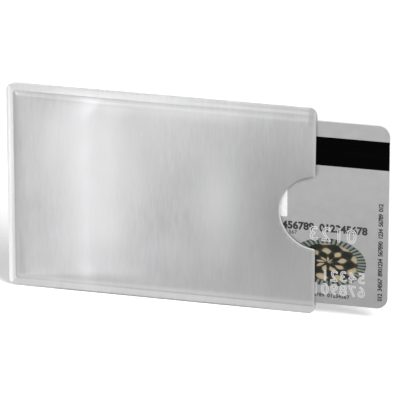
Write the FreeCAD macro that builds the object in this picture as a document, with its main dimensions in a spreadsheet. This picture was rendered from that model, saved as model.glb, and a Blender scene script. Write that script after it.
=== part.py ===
# A welded foil sleeve for one payment-size card, with the card part-way out of its mouth.
# Upright: X runs along the sleeve to its mouth, Y from front to back, Z up. Millimetres.
# The origin is on the floor, under the middle of the sleeve and card together.
import FreeCAD
import Part
import Sketcher
import math
import os
import re
from FreeCAD import Placement, Rotation, Vector

# Driving dimensions: name, value, meaning.
SIZES = [
    ("card_length", 85.60, "long side of the card"),
    ("card_height", 53.98, "short side of the card"),
    ("card_corner_radius", 3.18, "corner radius of the card"),
    ("overlay_thick", 0.08, "clear outer sheet on each face of the card"),
    ("core_thick", 0.15, "printed sheet under each overlay"),
    ("inlay_thick", 0.30, "middle sheet of the card"),
    ("card_exposed", 20.8, "length of card that stands out of the mouth"),
    ("stripe_drop", 4.5, "card's top edge to the magnetic stripe"),
    ("stripe_height", 8.4, "height of the magnetic stripe"),
    ("insert_thick", 0.03, "thickness of the stripe, writing panel and patch"),
    ("panel_drop", 19.0, "card's top edge to the writing panel"),
    ("panel_height", 10.0, "height of the writing panel"),
    ("panel_length", 50.0, "length of the writing panel"),
    ("panel_from_end", 29.0, "card's outer end to the writing panel"),
    ("panel_corner_radius", 0.4, "corner radius of the writing panel"),
    ("patch_width", 22.0, "long axis of the oval patch"),
    ("patch_height", 14.3, "short axis of the oval patch"),
    ("patch_from_end", 17.2, "card's outer end to the middle of the patch"),
    ("patch_drop", 41.5, "card's top edge to the middle of the patch"),
    ("chip_width", 13.0, "contact plate, along the card"),
    ("chip_height", 11.8, "contact plate, across the card"),
    ("chip_corner_radius", 2.0, "corner radius of the contact plate"),
    ("chip_from_end", 16.3, "card's outer end to the middle of the contact plate"),
    ("chip_drop", 24.0, "card's top edge to the middle of the contact plate"),
    ("contact_slit", 0.30, "width of the slits between contacts"),
    ("contact_slit_deep", 0.04, "depth of the slits between contacts"),
    ("contact_middle", 4.2, "width of the middle contact"),
    ("block_width", 8.0, "potted chip, along the card"),
    ("block_height", 6.5, "potted chip, across the card"),
    ("block_thick", 0.35, "potted chip, through the card"),
    ("block_corner_radius", 1.0, "corner radius of the potted chip"),
    ("coil_margin", 2.6, "card's edge to the middle of the outer antenna turn"),
    ("coil_pitch", 0.90, "step from one antenna turn to the next"),
    ("coil_track", 0.40, "width of the antenna track"),
    ("coil_thick", 0.08, "thickness of the antenna track"),
    ("pocket_gap", 0.30, "clearance between the card's faces and the linings"),
    ("edge_gap", 0.25, "clearance from the card's edges to where the pocket wall slopes"),
    ("mouth_recess", 0.89, "depth of the card's end inside the mouth when pushed home"),
    ("ramp_width", 1.06, "width of the sloping pocket wall"),
    ("weld_width", 2.20, "width of the flat weld on the three closed sides"),
    ("sleeve_corner_radius", 2.20, "corner radius of the sleeve"),
    ("film_thick", 0.12, "outer film of each panel"),
    ("shield_thick", 0.06, "aluminium foil of each panel"),
    ("lining_thick", 0.10, "inner film of each panel"),
    ("notch_radius", 10.8, "radius of the thumb notch"),
    ("notch_out", 0.65, "notch centre, outside the mouth edge"),
    ("notch_blend", 0.5, "rounding where the notch meets the mouth edge"),
    ("cut_margin", 3.0, "how far cutting profiles run past what they cut"),
]

ANTENNA_TURNS = 4

# Formulas in the names above, worked out by the document.
SLEEVE_LENGTH = "(weld_width + ramp_width + edge_gap + card_length + mouth_recess)"
SLEEVE_HEIGHT = "(card_height + 2 * (edge_gap + ramp_width + weld_width))"
CARD_THICK = "(2 * overlay_thick + 2 * core_thick + inlay_thick)"
POCKET_RISE = f"({CARD_THICK} / 2 + pocket_gap)"
SLEEVE_CENTRE_X = "(-card_exposed / 2)"
CARD_CENTRE_X = f"(({SLEEVE_LENGTH} + card_exposed - card_length) / 2)"
CENTRE_Z = f"({SLEEVE_HEIGHT} / 2)"
CHIP_X = "(card_length / 2 - chip_from_end)"
CHIP_Z = "(card_height / 2 - chip_drop)"
INLAY_FRONT = "(inlay_thick / 2)"
CORE_FRONT = "(inlay_thick / 2 + core_thick)"
CARD_FRONT = f"({CARD_THICK} / 2)"
INSERT_BACK = f"({CARD_FRONT} - insert_thick)"

doc = FreeCAD.newDocument("card_sleeve")
sheet = doc.addObject("Spreadsheet::Sheet", "Sizes")
for row, (name, size, meaning) in enumerate(SIZES, start=1):
    sheet.set(f"A{row}", meaning)
    sheet.set(f"B{row}", str(size))
    sheet.setAlias(f"B{row}", name)
doc.recompute()


def linked(formula):
    """The formula with every size name pointing at its cell."""
    return re.sub(r"\b[a-z]\w*\b(?!\()", r"Sizes.\g<0>", formula)


def value(formula):
    """The formula's value now, in millimetres."""
    return float(sheet.evalExpression(linked(formula)))


def bind(item, prop, formula):
    item.setExpression(prop, linked(formula))


def dimension(sketch, formula, kind, *where):
    """Adds a dimension to a sketch and binds it to a formula."""
    index = sketch.addConstraint(Sketcher.Constraint(kind, *where, value(formula)))
    bind(sketch, f"Constraints[{index}]", formula)


def new_body(name, centre_x, turned=False):
    """A body in the upright plane; a turned one faces backwards."""
    body = doc.addObject("PartDesign::Body", name)
    body.Label = name
    if turned:
        body.Placement.Rotation = Rotation(Vector(1, 0, 0), 180)
    bind(body, "Placement.Base.x", centre_x)
    bind(body, "Placement.Base.z", CENTRE_Z)
    return body


def new_sketch(body, name, centre_x="0", centre_z="0", depth="0"):
    """A sketch in the upright plane, moved to its centre and forwards by its depth."""
    sketch = body.newObject("Sketcher::SketchObject", name)
    plane = next(item for item in body.Origin.OriginFeatures if item.Role == "XZ_Plane")
    sketch.AttachmentSupport = [(plane, "")]
    sketch.MapMode = "FlatFace"
    for axis, formula in zip("xyz", (centre_x, centre_z, depth)):
        bind(sketch, f"AttachmentOffset.Base.{axis}", formula)
    return sketch


def rectangle(sketch, width, height):
    """A rectangle about the sketch's origin."""
    right = value(width) / 2
    top = value(height) / 2
    corners = [Vector(-right, -top), Vector(right, -top), Vector(right, top), Vector(-right, top)]
    for side in range(4):
        sketch.addGeometry(Part.LineSegment(corners[side], corners[(side + 1) % 4]))
    for side in range(4):
        sketch.addConstraint(Sketcher.Constraint("Coincident", side, 2, (side + 1) % 4, 1))
        sketch.addConstraint(Sketcher.Constraint(("Horizontal", "Vertical")[side % 2], side))
    sketch.addConstraint(Sketcher.Constraint("Symmetric", 0, 1, 2, 1, -1, 1))
    dimension(sketch, width, "DistanceX", 0, 1, 0, 2)
    dimension(sketch, height, "DistanceY", 1, 1, 1, 2)


def rounded_rectangle(sketch, width, height, radius):
    """A rectangle about the sketch's origin with four equal corner arcs."""
    right = value(width) / 2
    top = value(height) / 2
    bend = value(radius)
    inner = Vector(right - bend, top - bend)
    ends = [
        (Vector(-inner.x, -top), Vector(inner.x, -top)),
        (Vector(right, -inner.y), Vector(right, inner.y)),
        (Vector(inner.x, top), Vector(-inner.x, top)),
        (Vector(-right, inner.y), Vector(-right, -inner.y)),
    ]
    for start, end in ends:
        sketch.addGeometry(Part.LineSegment(start, end))
    centres = [Vector(inner.x, -inner.y), inner, Vector(-inner.x, inner.y), -inner]
    for corner, centre in enumerate(centres):
        start = (corner - 1) * math.pi / 2
        circle = Part.Circle(centre, Vector(0, 0, 1), bend)
        sketch.addGeometry(Part.ArcOfCircle(circle, start, start + math.pi / 2))
    for side in range(4):
        arc = 4 + side
        sketch.addConstraint(Sketcher.Constraint("Tangent", side, 2, arc, 1))
        sketch.addConstraint(Sketcher.Constraint("Tangent", arc, 2, (side + 1) % 4, 1))
        sketch.addConstraint(Sketcher.Constraint(("Horizontal", "Vertical")[side % 2], side))
    for arc in (5, 6, 7):
        sketch.addConstraint(Sketcher.Constraint("Equal", 4, arc))
    sketch.addConstraint(Sketcher.Constraint("Symmetric", 4, 3, 6, 3, -1, 1))
    dimension(sketch, radius, "Radius", 4)
    dimension(sketch, width, "DistanceX", 3, 1, 1, 1)
    dimension(sketch, height, "DistanceY", 0, 1, 2, 1)


def ellipse(sketch, width, height):
    """An upright oval about the sketch's origin, with its long axis along the card."""
    oval = Part.Ellipse(Vector(0, 0), value(width) / 2, value(height) / 2)
    sketch.addGeometry(oval)
    sketch.exposeInternalGeometry(0)
    sketch.addConstraint(Sketcher.Constraint("Coincident", 0, 3, -1, 1))
    sketch.addConstraint(Sketcher.Constraint("Horizontal", 1))
    dimension(sketch, width, "Distance", 1)
    dimension(sketch, height, "Distance", 2)


def pad(body, sketch, length):
    feature = body.newObject("PartDesign::Pad", "Pad")
    feature.Profile = sketch
    bind(feature, "Length", length)
    return feature


def pocket(body, sketch, length):
    """Cuts forwards, away from the middle plane."""
    feature = body.newObject("PartDesign::Pocket", "Pocket")
    feature.Profile = sketch
    feature.Reversed = True
    bind(feature, "Length", length)
    return feature


def pocket_form(body, kind, depth):
    """The pocket's flat-topped form, sloping up from the weld at a depth; it runs out past the mouth."""
    form = body.newObject(kind, "PocketForm")
    plane = next(item for item in body.Origin.OriginFeatures if item.Role == "XY_Plane")
    form.AttachmentSupport = [(plane, "")]
    form.MapMode = "FlatFace"
    form.AttachmentOffset = Placement(Vector(), Rotation(Vector(1, 0, 0), 180))
    weld_x = f"{SLEEVE_LENGTH} / 2 - weld_width"
    weld_z = f"{SLEEVE_HEIGHT} / 2 - weld_width"
    bind(form, "Ymin", depth)
    bind(form, "Ymax", f"{depth} + {POCKET_RISE}")
    bind(form, "Xmin", f"-({weld_x})")
    bind(form, "X2min", f"-({weld_x} - ramp_width)")
    for far_end in ("Xmax", "X2max"):
        bind(form, far_end, f"{SLEEVE_LENGTH} / 2 + cut_margin")
    bind(form, "Zmin", f"-({weld_z})")
    bind(form, "Zmax", weld_z)
    bind(form, "Z2min", f"-({weld_z} - ramp_width)")
    bind(form, "Z2max", f"{weld_z} - ramp_width")


def repeat(body, feature, axis, span, count):
    """Repeats a feature over a span along a sketch axis."""
    pattern = body.newObject("PartDesign::LinearPattern", "Repeat")
    pattern.Originals = [feature]
    pattern.Direction = (feature.Profile[0], [axis])
    pattern.Occurrences = count
    bind(pattern, "Length", span)
    body.Tip = pattern


def mouth_profile(body):
    """All that lies outside the mouth edge, with the thumb notch bulging into the sleeve."""
    sketch = new_sketch(body, "MouthCut", f"{SLEEVE_LENGTH} / 2")
    high = f"{SLEEVE_HEIGHT} / 2 + cut_margin"
    out = "2 * cut_margin"
    notch = value("notch_radius")
    blend = value("notch_blend")
    centre = Vector(value("notch_out"), 0)
    blend_z = math.sqrt((notch + blend) ** 2 - (centre.x + blend) ** 2)
    turn = math.atan2(blend_z, centre.x + blend)
    top = value(high)
    far = value(out)
    outline = [Vector(0, blend_z), Vector(0, top), Vector(far, top)]
    outline += [Vector(far, -top), Vector(0, -top), Vector(0, -blend_z)]
    for start, end in zip(outline, outline[1:]):
        sketch.addGeometry(Part.LineSegment(start, end))
    lower = Part.Circle(Vector(-blend, -blend_z), Vector(0, 0, 1), blend)
    middle = Part.Circle(centre, Vector(0, 0, 1), notch)
    upper = Part.Circle(Vector(-blend, blend_z), Vector(0, 0, 1), blend)
    sketch.addGeometry(Part.ArcOfCircle(lower, 0, turn))
    sketch.addGeometry(Part.ArcOfCircle(middle, math.pi - turn, math.pi + turn))
    sketch.addGeometry(Part.ArcOfCircle(upper, -turn, 0))
    for line in range(4):
        sketch.addConstraint(Sketcher.Constraint("Coincident", line, 2, line + 1, 1))
    for line in range(5):
        sketch.addConstraint(Sketcher.Constraint(("Vertical", "Horizontal")[line % 2], line))
    sketch.addConstraint(Sketcher.Constraint("Tangent", 4, 2, 5, 1))
    sketch.addConstraint(Sketcher.Constraint("Tangent", 5, 2, 6, 2))
    sketch.addConstraint(Sketcher.Constraint("Tangent", 6, 1, 7, 1))
    sketch.addConstraint(Sketcher.Constraint("Tangent", 7, 2, 0, 1))
    sketch.addConstraint(Sketcher.Constraint("PointOnObject", 6, 3, -1))
    sketch.addConstraint(Sketcher.Constraint("PointOnObject", 0, 1, -2))
    sketch.addConstraint(Sketcher.Constraint("PointOnObject", 4, 2, -2))
    sketch.addConstraint(Sketcher.Constraint("Equal", 5, 7))
    dimension(sketch, "notch_blend", "Radius", 5)
    dimension(sketch, "notch_radius", "Radius", 6)
    dimension(sketch, "notch_out", "DistanceX", -1, 1, 6, 3)
    dimension(sketch, out, "DistanceX", -1, 1, 2, 1)
    dimension(sketch, high, "DistanceY", -1, 1, 0, 2)
    dimension(sketch, high, "DistanceY", 3, 2, -1, 1)
    return sketch


def panel_sheet(name, inside, thick, turned):
    """One sheet of a panel: flat at the weld, raised over the pocket, die-cut at the mouth."""
    body = new_body(name, SLEEVE_CENTRE_X, turned)
    outline = new_sketch(body, "Outline", "0", "0", inside)
    corner = "min(sleeve_corner_radius; weld_width)"
    rounded_rectangle(outline, SLEEVE_LENGTH, SLEEVE_HEIGHT, corner)
    pad(body, outline, thick)
    pocket_form(body, "PartDesign::AdditiveWedge", f"{inside} + {thick}")
    pocket_form(body, "PartDesign::SubtractiveWedge", inside)
    mouth_cut = pocket(body, mouth_profile(body), "cut_margin")
    mouth_cut.Type = "ThroughAll"
    return body


def panel(side, turned):
    """The three sheets of one panel, from the inside out."""
    lining = panel_sheet(f"{side}_lining", "0", "lining_thick", turned)
    shield = panel_sheet(f"{side}_shield", "lining_thick", "shield_thick", turned)
    film = panel_sheet(f"{side}_film", "(lining_thick + shield_thick)", "film_thick", turned)
    return [lining, shield, film]


def card_sheet(name, depth, thick, turned=False):
    """One full-size sheet of the card, as a body with its inside face at the depth."""
    body = new_body(name, CARD_CENTRE_X, turned)
    sketch = new_sketch(body, "Outline", "0", "0", depth)
    rounded_rectangle(sketch, "card_length", "card_height", "card_corner_radius")
    pad(body, sketch, thick)
    return body


def stripe_outline(body):
    sketch = new_sketch(body, "Stripe", "0", "card_height / 2 - stripe_drop - stripe_height / 2", INSERT_BACK)
    rectangle(sketch, "card_length", "stripe_height")
    return sketch


def panel_outline(body):
    along = "card_length / 2 - panel_from_end - panel_length / 2"
    up = "card_height / 2 - panel_drop - panel_height / 2"
    sketch = new_sketch(body, "WritingPanel", along, up, INSERT_BACK)
    rounded_rectangle(sketch, "panel_length", "panel_height", "panel_corner_radius")
    return sketch


def patch_outline(body):
    along = "card_length / 2 - patch_from_end"
    sketch = new_sketch(body, "Patch", along, "card_height / 2 - patch_drop", INSERT_BACK)
    ellipse(sketch, "patch_width", "patch_height")
    return sketch


def back_overlay():
    """The clear sheet of the face in view, recessed for its three flush inserts."""
    body = card_sheet("card_back_overlay", CORE_FRONT, "overlay_thick")
    for outline in (stripe_outline, panel_outline, patch_outline):
        pocket(body, outline(body), "insert_thick")
    return body


def insert(name, outline):
    """A thin piece that lies flush in its recess in the back overlay."""
    body = new_body(name, CARD_CENTRE_X)
    pad(body, outline(body), "insert_thick")
    return body


def chip_sketch(body, name, depth, width, height, radius):
    """An outline about the chip, on a body that faces backwards and so counts Z downwards."""
    sketch = new_sketch(body, name, CHIP_X, f"-{CHIP_Z}", depth)
    rounded_rectangle(sketch, width, height, radius)
    return sketch


def contact_sketch(body, depth):
    return chip_sketch(body, "Contacts", depth, "chip_width", "chip_height", "chip_corner_radius")


def block_sketch(body, depth):
    return chip_sketch(body, "Block", depth, "block_width", "block_height", "block_corner_radius")


def front_overlay():
    """The clear sheet of the far face, with a window for the contact plate."""
    body = card_sheet("card_front_overlay", CORE_FRONT, "overlay_thick", turned=True)
    pocket(body, contact_sketch(body, CORE_FRONT), "overlay_thick")
    return body


def front_core():
    """The printed sheet of the far face, with a window for the potted chip."""
    body = card_sheet("card_front_core", INLAY_FRONT, "core_thick", turned=True)
    pocket(body, block_sketch(body, INLAY_FRONT), "core_thick")
    return body


def chip_contacts():
    """The contact plate, flush in its window, with slits that part its contacts."""
    body = new_body("chip_contacts", CARD_CENTRE_X, turned=True)
    pad(body, contact_sketch(body, CORE_FRONT), "overlay_thick")
    slit_depth = f"{CARD_FRONT} - contact_slit_deep"
    row_pitch = "chip_height / 4"
    side_width = "(chip_width - contact_middle) / 2"
    for side, shift in (("Left", "-"), ("Right", "+")):
        along = f"{CHIP_X} {shift} (contact_middle + {side_width}) / 2"
        slit = new_sketch(body, f"Row{side}", along, f"-{CHIP_Z} - {row_pitch}", slit_depth)
        rectangle(slit, side_width, "contact_slit")
        repeat(body, pocket(body, slit, "contact_slit_deep"), "V_Axis", f"2 * {row_pitch}", 3)
    column = new_sketch(body, "Column", f"{CHIP_X} - contact_middle / 2", f"-{CHIP_Z}", slit_depth)
    rectangle(column, "contact_slit", "chip_height")
    repeat(body, pocket(body, column, "contact_slit_deep"), "H_Axis", "contact_middle", 2)
    return body


def chip_block():
    """The potted chip behind the contact plate, through the core and into the inlay."""
    body = new_body("chip_block", CARD_CENTRE_X, turned=True)
    pad(body, block_sketch(body, f"{CORE_FRONT} - block_thick"), "block_thick")
    return body


def antenna_route():
    """Corner points of the antenna's rectangular spiral, from its outer end inwards."""
    right = value("card_length / 2 - coil_margin")
    top = value("card_height / 2 - coil_margin")
    pitch = value("coil_pitch")
    route = []
    for turn in range(ANTENNA_TURNS):
        inset = turn * pitch
        route.append(Vector(-right + max(inset - pitch, 0), top - inset))
        route.append(Vector(right - inset, top - inset))
        route.append(Vector(right - inset, -top + inset))
        route.append(Vector(-right + inset, -top + inset))
    route.append(Vector(-right + inset, top - inset - pitch))
    return route


def track_edge(route, offset):
    """The route moved sideways by an offset, with mitred corners."""
    edge = []
    for index, point in enumerate(route):
        steps = []
        if index > 0:
            steps.append(point - route[index - 1])
        if index < len(route) - 1:
            steps.append(route[index + 1] - point)
        normals = [Vector(-step.y, step.x).normalize() for step in steps]
        edge.append(sum(normals, Vector()) * offset + point)
    return edge


def antenna_coil():
    """The flat antenna track, laid in the inlay's face towards the viewer."""
    half_track = value("coil_track / 2")
    thick = value("coil_thick")
    route = antenna_route()
    outline = track_edge(route, half_track) + track_edge(route, -half_track)[::-1]
    flat = Part.Face(Part.makePolygon(outline + outline[:1]))
    flat.rotate(Vector(), Vector(1, 0, 0), 90)
    flat.translate(Vector(0, thick - value(INLAY_FRONT), 0))
    coil = doc.addObject("Part::Feature", "antenna_coil")
    coil.Label = "antenna_coil"
    coil.Shape = flat.extrude(Vector(0, -thick, 0))
    bind(coil, "Placement.Base.x", CARD_CENTRE_X)
    bind(coil, "Placement.Base.z", CENTRE_Z)
    return coil


def inlay(coil):
    """The middle sheet, grooved for the antenna and recessed for the potted chip."""
    body = card_sheet("InlaySheet", f"-{INLAY_FRONT}", "inlay_thick", turned=True)
    into_inlay = "(block_thick - core_thick)"
    pocket(body, block_sketch(body, f"{INLAY_FRONT} - {into_inlay}"), into_inlay)
    grooved = doc.addObject("Part::Cut", "card_inlay")
    grooved.Label = "card_inlay"
    grooved.Base = body
    grooved.Tool = coil
    return grooved


coil = antenna_coil()
sub_parts = panel("front", turned=False) + panel("back", turned=True)
sub_parts += [
    back_overlay(),
    card_sheet("card_back_core", INLAY_FRONT, "core_thick"),
    coil,
    inlay(coil),
    front_core(),
    front_overlay(),
    insert("magnetic_stripe", stripe_outline),
    insert("signature_panel", panel_outline),
    insert("picture_patch", patch_outline),
    chip_contacts(),
    chip_block(),
]
doc.recompute()

for item in doc.Objects:
    if "Invalid" in item.State or "Error" in item.State:
        raise RuntimeError(f"{item.Label} did not build: {item.State}")
for sub_part in sub_parts:
    if sub_part.Shape.isNull() or not sub_part.Shape.isValid() or len(sub_part.Shape.Solids) != 1:
        raise RuntimeError(f"{sub_part.Label} has no single valid solid")

os.makedirs("parts", exist_ok=True)
for sub_part in sub_parts:
    sub_part.Shape.exportStep(f"parts/{sub_part.Label}.step")
    box = sub_part.Shape.BoundBox
    print(f"{sub_part.Label}: {sub_part.Shape.Volume:.3f} mm3, "
          f"{box.XLength:.2f} x {box.YLength:.2f} x {box.ZLength:.2f} mm")
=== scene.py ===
import math

import bmesh
import bpy
import numpy as np
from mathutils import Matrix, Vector
from mathutils.geometry import delaunay_2d_cdt


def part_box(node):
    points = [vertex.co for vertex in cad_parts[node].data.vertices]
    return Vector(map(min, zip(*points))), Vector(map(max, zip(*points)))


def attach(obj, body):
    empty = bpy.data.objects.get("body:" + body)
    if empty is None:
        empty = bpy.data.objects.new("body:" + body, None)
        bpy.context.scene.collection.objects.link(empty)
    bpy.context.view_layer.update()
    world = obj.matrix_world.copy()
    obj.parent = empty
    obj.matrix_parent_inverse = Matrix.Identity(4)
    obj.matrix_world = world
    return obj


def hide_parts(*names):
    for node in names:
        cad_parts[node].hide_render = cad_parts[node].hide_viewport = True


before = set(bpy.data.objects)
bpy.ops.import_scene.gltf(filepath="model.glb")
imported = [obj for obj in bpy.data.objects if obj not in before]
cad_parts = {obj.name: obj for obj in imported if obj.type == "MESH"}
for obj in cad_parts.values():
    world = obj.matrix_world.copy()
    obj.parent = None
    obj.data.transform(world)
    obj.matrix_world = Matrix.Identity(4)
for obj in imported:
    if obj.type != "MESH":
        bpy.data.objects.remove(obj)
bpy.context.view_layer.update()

# The looks of a welded foil card sleeve and its card, around their solids.
# Shapes are worked out in millimetres in the row frame and written in metres.
MM = 0.001


def box_mm(node):
    """Lowest and highest corner of a solid, in millimetres."""
    return [np.array(corner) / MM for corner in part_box(node)]


# Places read from the solids.
sleeve_low, sleeve_high = box_mm("front_film")
card_low, card_high = box_mm("card_inlay")
CLOSED, MOUTH = sleeve_low[0], sleeve_high[0]
LENGTH = MOUTH - CLOSED
TOP = sleeve_high[2]
MIDDLE = TOP / 2
CARD_END = card_low[0]
CARD_HALF = (card_high[2] - card_low[2]) / 2
CARD_FACE = -box_mm("card_back_overlay")[0][1]

# The outlines of the sleeve and the card, as the solids have them.
CORNER = 2.2
NOTCH_RADIUS = 10.8
NOTCH_OUT = 0.65
NOTCH_X = MOUTH + NOTCH_OUT
NOTCH_BLEND = 0.5
CARD_CORNER = 3.18

# The laminate of one panel: where each sheet starts and ends, as shares from the inside out, and its slot.
LAMINATE = 0.28
SHEET_GAP = 0.004
SHEETS = {
    "lining": (0.0, 0.357, "lining_film"),
    "shield": (0.357, 0.571, "shield_foil"),
    "film": (0.571, 1.0, "silver_film"),
}

# Height of a panel's outer face above the middle plane, by distance inwards from the welded edges.
EDGE_PROFILE = [
    (0.00, 0.285), (1.20, 0.290), (1.80, 0.287), (2.10, 0.278), (2.25, 0.272), (2.35, 0.282), (2.60, 0.37),
    (3.00, 0.55), (3.50, 0.72), (4.00, 0.81), (5.00, 0.905), (6.00, 0.97), (7.00, 1.02), (9.00, 1.10),
    (12.0, 1.20), (16.0, 1.32), (32.0, 1.70),
]
WELD_END = 2.25
WELD_CORNER_BLEND = 0.9
CLOSED_SHIFT = 0.3
POCKET_OPENS = (2.1, 2.8)
EDGE_ROUND = 0.30
EDGE_DROP = 0.05

# Height of the film inside the roll: over the empty pocket and over the card, sagging past the card's end
# and gaping at the mouth. A fade is where a form starts to come in and where it is whole.
EMPTY_FACE = 0.78
DOME = 1.12
FACE_BLEND = 0.22
RIDGE_WIDTH = 7.0
RIDGE_SHIFT = 2.0
CARD_CORNER_FADE = (-2.0, 6.0)
SAG = 0.07
SAG_FADE = (CARD_END + 5, 10)
GAPE = 0.02
GAPE_FADE = (MOUTH - 16, MOUTH)
UPPER_GAPE = 0.30
UPPER_GAPE_FADE = (MOUTH - 13, MOUTH)
UPPER_GAPE_START = (MIDDLE + 1, MIDDLE + 8)
UPPER_GAPE_STOP = (TOP - 2.5, TOP - 8)

# Faint ripples of the film: swing, and length per radian along x and z.
RIPPLE_PHASE = 0.4
RIPPLES = [(0.012, 3.7, math.inf), (0.008, 2.3, 21.0)]

# Points of a panel: steps along its outline, rings inside it, then a grid that is finer where the film
# bends. The grid's rows give a place and the step from there on.
OUTLINE_STEP = 0.9
ARC_FINENESS = 3
LEAST_ARC_STEPS = 4
STEP_SLACK = 0.01
SAME_PLACE = 1e-6
RING_OFFSETS = (0.06, 0.14, 0.25, 0.40)
GRID_MARGIN = 0.6
GRID_CLEAR = 0.55
GRID_ALONG = [(GRID_MARGIN, 0.22), (5, 1.0), (17, 0.5), (30, 1.2), (LENGTH - 6, 0.5)]
GRID_ACROSS = [(GRID_MARGIN, 0.22), (5, 1.0)]
FILM_COARSENESS, INNER_COARSENESS = 1.0, 2.0
TRIANGLES_INSIDE = 1
SMOOTH_ANGLE = 35


# Curves and distances on a panel, at arrays of x and z.
def hermite(points, at):
    """A smooth curve through points of (place, height), read at an array of places."""
    xs, ys = np.array(points).T
    slopes = np.gradient(ys, xs)
    at = np.clip(at, xs[0], xs[-1])
    left = np.clip(np.searchsorted(xs, at) - 1, 0, len(xs) - 2)
    width = xs[left + 1] - xs[left]
    t = (at - xs[left]) / width
    start = (1 + 2 * t) * (1 - t) ** 2 * ys[left] + t * (1 - t) ** 2 * width * slopes[left]
    end = t * t * (3 - 2 * t) * ys[left + 1] + t * t * (t - 1) * width * slopes[left + 1]
    return start + end


def smooth_step(low, high, at):
    """Zero at low, one at high, with no kink; low may be the larger."""
    t = np.clip((at - low) / (high - low), 0, 1)
    return t * t * (3 - 2 * t)


def smooth_min(a, b, reach):
    """The smaller of two heights, rounded where they differ by less than the reach."""
    blend = np.clip(reach - np.abs(a - b), 0, None) / reach
    return np.minimum(a, b) - blend * blend * reach / 4


def bell(at, middle, reach):
    """One at the middle, fading out on both sides."""
    return np.exp(-((at - middle) / reach) ** 2)


def leaning_bell(at, middle, before, after):
    """A bell with its own reach before and after the middle."""
    return bell(at, middle, np.where(at > middle, after, before))


def by_height(z, bottom, top):
    """A value that goes evenly from the sleeve's lower edge to its upper edge."""
    return bottom + (top - bottom) * z / TOP


def patches(rows, x, z):
    """The sum of soft patches, each fading out from its middle."""
    return sum(strength * bell(x, mid_x, reach_x) * bell(z, mid_z, reach_z)
               for mid_x, mid_z, reach_x, reach_z, strength in rows)


def side_distance(z):
    """Distance inwards from the nearer long edge."""
    return np.minimum(z, TOP - z)


def weld_distance(x, z):
    """Distance inwards from the three welds, with nearly square corners."""
    return smooth_min(x - CLOSED + CLOSED_SHIFT, side_distance(z), WELD_CORNER_BLEND)


def edge_distance(x, z):
    """Distance inwards from the three closed edges, round their corners."""
    across, along = x - CLOSED, side_distance(z)
    corner = CORNER - np.hypot(np.maximum(CORNER - across, 0), np.maximum(CORNER - along, 0))
    return np.minimum(corner, np.minimum(across, along))


def notch_distance(x, z):
    """Distance outwards from the notch's arc."""
    return np.hypot(x - NOTCH_X, z - MIDDLE) - NOTCH_RADIUS


def cut_distance(x, z):
    """Distance inwards from the mouth edge and the notch."""
    return np.minimum(MOUTH - x, notch_distance(x, z))


def end_distance(x, z):
    """Distance outwards from the card's inner end with its rounded corners, negative over the card."""
    across = CARD_END + CARD_CORNER - x
    along = np.maximum(np.abs(z - MIDDLE) - CARD_HALF + CARD_CORNER, 0)
    along = along * smooth_step(*CARD_CORNER_FADE, across)
    return np.hypot(np.maximum(across, 0), along) + np.minimum(across, 0) - CARD_CORNER


# The faces of a panel.
def edge_rounding(x, z):
    """How far the outer face drops where it rounds over the panel's cut outline."""
    rim = np.minimum(edge_distance(x, z), cut_distance(x, z))
    return EDGE_DROP * np.clip(1 - rim / EDGE_ROUND, 0, 1) ** 2


def outer_face(x, z, phase):
    """Height of a panel's outer face: weld, groove, roll, ridge over the card's end and flared mouth."""
    over_card = 1 / (1 + np.exp(2 * (end_distance(x, z) - RIDGE_SHIFT) / RIDGE_WIDTH))
    upper = smooth_step(*UPPER_GAPE_START, z) * smooth_step(*UPPER_GAPE_STOP, z)
    face = EMPTY_FACE + (DOME - EMPTY_FACE) * over_card - SAG * smooth_step(*SAG_FADE, x)
    face = face + GAPE * smooth_step(*GAPE_FADE, x) + UPPER_GAPE * smooth_step(*UPPER_GAPE_FADE, x) * upper
    for turn, (swing, length_x, length_z) in enumerate(RIPPLES, start=1):
        face = face + swing * np.sin(x / length_x + z / length_z + turn * phase)
    height = smooth_min(hermite(EDGE_PROFILE, weld_distance(x, z)), face, FACE_BLEND)
    return height - edge_rounding(x, z)


def inner_face(x, z, outer):
    """Height of a panel's inner face: closed on the weld, one laminate below the outer face elsewhere."""
    height = outer + edge_rounding(x, z) - LAMINATE
    return smooth_step(*POCKET_OPENS, weld_distance(x, z)) * np.maximum(height, 0)


# The points and triangles of a panel.
def arc(centre_x, centre_z, radius, start, end, step):
    count = max(LEAST_ARC_STEPS, math.ceil(abs(end - start) * radius / step))
    turns = np.linspace(start, end, count + 1)
    return [(centre_x + radius * math.cos(a), centre_z + radius * math.sin(a)) for a in turns]


def panel_outline(step):
    """The panel's cut outline, anticlockwise, without a repeated point."""
    quarter = math.pi / 2
    fine = step / ARC_FINENESS
    blend_x = NOTCH_OUT + NOTCH_BLEND
    blend_z = math.sqrt((NOTCH_RADIUS + NOTCH_BLEND) ** 2 - blend_x ** 2)
    turn = math.atan2(blend_z, blend_x)
    corners = arc(CLOSED + CORNER, CORNER, CORNER, 2 * quarter, 3 * quarter, fine)
    corners += arc(MOUTH - CORNER, CORNER, CORNER, -quarter, 0, fine)
    corners += arc(MOUTH - NOTCH_BLEND, MIDDLE - blend_z, NOTCH_BLEND, 0, turn, fine)
    corners += arc(NOTCH_X, MIDDLE, NOTCH_RADIUS, math.pi + turn, math.pi - turn, fine)
    corners += arc(MOUTH - NOTCH_BLEND, MIDDLE + blend_z, NOTCH_BLEND, -turn, 0, fine)
    corners += arc(MOUTH - CORNER, TOP - CORNER, CORNER, 0, quarter, fine)
    corners += arc(CLOSED + CORNER, TOP - CORNER, CORNER, quarter, 2 * quarter, fine)
    outline = []
    for here, there in zip(corners, corners[1:] + corners[:1]):
        here, there = np.array(here), np.array(there)
        length = np.linalg.norm(there - here)
        if length < SAME_PLACE:
            continue
        count = max(1, math.ceil(length / step - STEP_SLACK))
        outline += [here + (there - here) * i / count for i in range(count)]
    return np.array(outline)


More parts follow.
